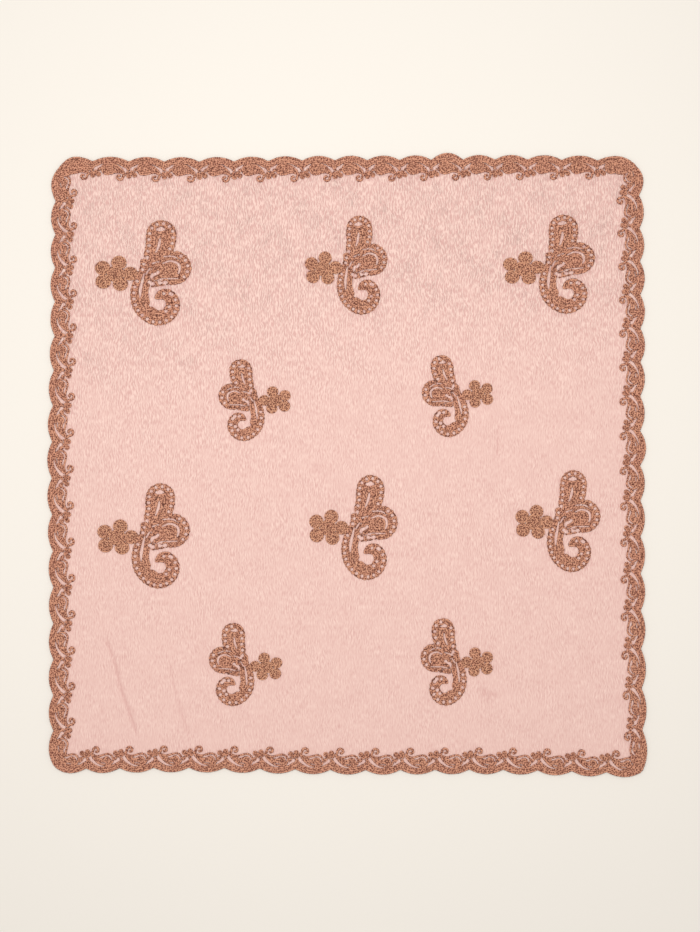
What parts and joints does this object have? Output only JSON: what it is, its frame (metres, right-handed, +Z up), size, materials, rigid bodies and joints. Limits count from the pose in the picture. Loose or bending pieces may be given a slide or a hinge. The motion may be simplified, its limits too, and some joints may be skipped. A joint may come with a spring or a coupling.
{
  "type": "bandana",
  "caption": "Square headscarf of pink crinkle crepe with a scalloped guipure lace edging and lace appliques in flower and scroll form, laid flat face up.",
  "frame": {"origin": "middle of the underside of the flat cloth, on the surface it lies on", "axes": "+X to the right along the edging's bottom side, +Y towards the top edge, +Z up out of the cloth's face"},
  "size_m": [0.5628, 0.5868, 0.0025],
  "materials": {
    "pink_crepe": "matt crinkled crepe",
    "rosewood_lace": "dense corded stitching with a faint thread sheen"
  },
  "bodies": {
    "root": {"crepe_panel": "pink_crepe", "lace_top": "rosewood_lace", "lace_right": "rosewood_lace", "lace_bottom": "rosewood_lace", "lace_left": "rosewood_lace", "applique_top_left": "rosewood_lace", "applique_top_middle": "rosewood_lace", "applique_top_right": "rosewood_lace", "applique_upper_left": "rosewood_lace", "applique_upper_right": "rosewood_lace", "applique_centre_left": "rosewood_lace", "applique_centre": "rosewood_lace", "applique_centre_right": "rosewood_lace", "applique_lower_left": "rosewood_lace", "applique_lower_right": "rosewood_lace"}
  },
  "joints": []
}
